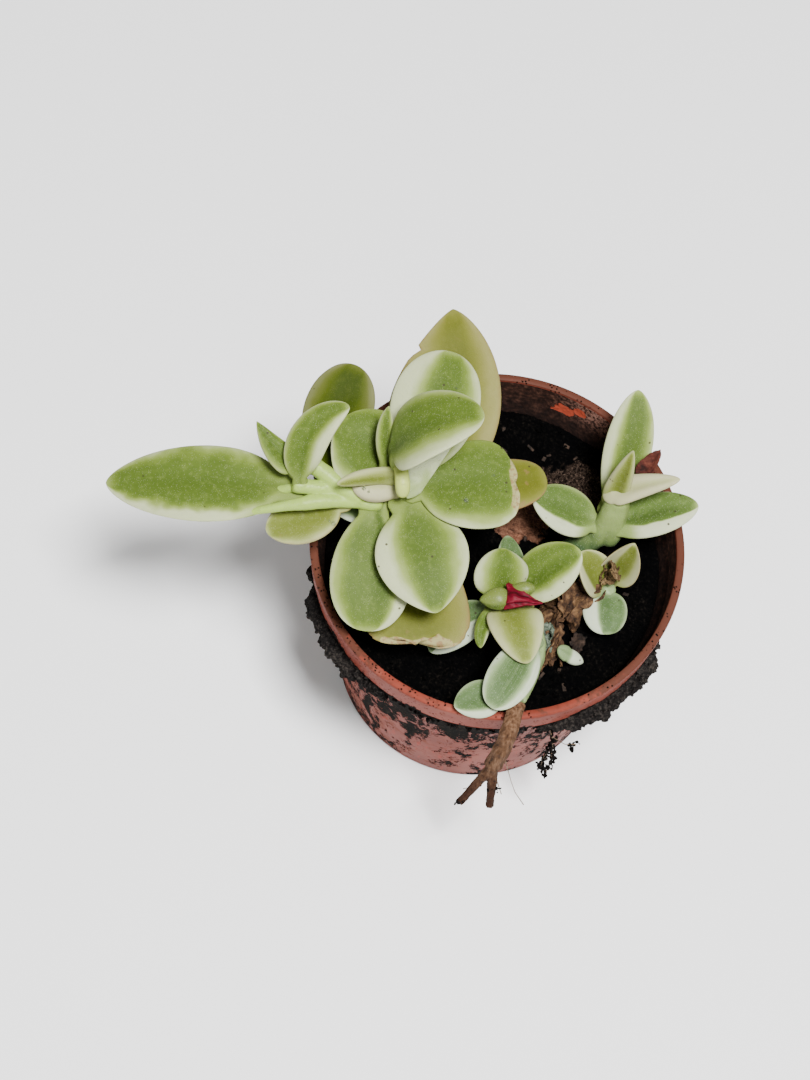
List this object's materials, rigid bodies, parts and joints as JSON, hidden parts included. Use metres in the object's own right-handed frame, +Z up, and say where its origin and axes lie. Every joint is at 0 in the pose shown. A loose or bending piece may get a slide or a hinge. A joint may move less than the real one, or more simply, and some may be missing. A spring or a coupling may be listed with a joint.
{
  "type": "potted heartleaf ice plant",
  "caption": "Variegated succulent with fleshy cream-edged heart-shaped leaves and a small pink flower, growing in a small terracotta-coloured plastic nursery pot filled with dark soil.",
  "frame": {"origin": "centre of the pot's flat base, where it stands", "axes": "+Z up the pot's axis, +Y to the back of the pot, +X to its right; the longest leaf points along -X"},
  "size_m": [0.1229, 0.0918, 0.1066],
  "materials": {
    "terracotta_plastic": "terracotta-coloured polypropylene, dull, smeared with dried soil",
    "peat": "dark crumbly peat soil",
    "green_leaf": "yellow-green fleshy leaf with a cream margin and glistening papillae",
    "cream_leaf": "cream-white fleshy leaf",
    "old_leaf": "yellowing older leaf",
    "shade_leaf": "blue-green lower leaf with a pale margin",
    "stem": "green fleshy stem",
    "wood": "brown woody stem",
    "dried_leaf": "brown crumpled dead leaf",
    "petal": "magenta-red wilted petals"
  },
  "bodies": {
    "root": {"pot": "terracotta_plastic", "soil": "peat", "soil_crust_left": "peat", "soil_crust_right": "peat", "main_stem": "stem", "leaf_back_old": "old_leaf", "leaf_upper": "green_leaf", "leaf_arching": "green_leaf", "leaf_right_torn": "green_leaf", "leaf_right_under": "old_leaf", "leaf_front": "green_leaf", "leaf_front_old": "old_leaf", "leaf_broad": "green_leaf", "leaf_slim": "green_leaf", "leaf_edge": "cream_leaf", "leaf_cream": "cream_leaf", "leaf_low_left": "green_leaf", "leaf_front_left": "green_leaf", "leaf_back_left": "green_leaf", "leaf_left_arching": "green_leaf", "leaf_left_slim": "green_leaf", "leaf_far_left": "green_leaf", "leaf_left_old": "old_leaf", "right_stem": "stem", "right_leaf_left": "shade_leaf", "right_leaf_right": "green_leaf", "right_leaf_tall": "green_leaf", "right_leaf_small": "green_leaf", "right_leaf_cream": "cream_leaf", "right_leaf_dried": "dried_leaf", "bud_stem": "stem", "bud_leaf_left": "green_leaf", "bud_leaf_right": "green_leaf", "bud_leaf_low": "shade_leaf", "dried_bud": "dried_leaf", "front_stem": "stem", "front_leaf_back": "green_leaf", "front_leaf_right": "green_leaf", "front_leaf_middle": "green_leaf", "front_leaf_left": "green_leaf", "front_leaf_small": "green_leaf", "front_leaf_hidden": "shade_leaf", "front_leaf_low": "shade_leaf", "front_leaf_over_rim": "shade_leaf", "front_leaf_hanging": "cream_leaf", "woody_fork": "wood", "flower_calyx": "stem", "flower_petals": "petal", "fallen_leaf_back": "dried_leaf", "fallen_leaf_right": "dried_leaf", "fallen_leaf_front": "dried_leaf"}
  },
  "joints": []
}
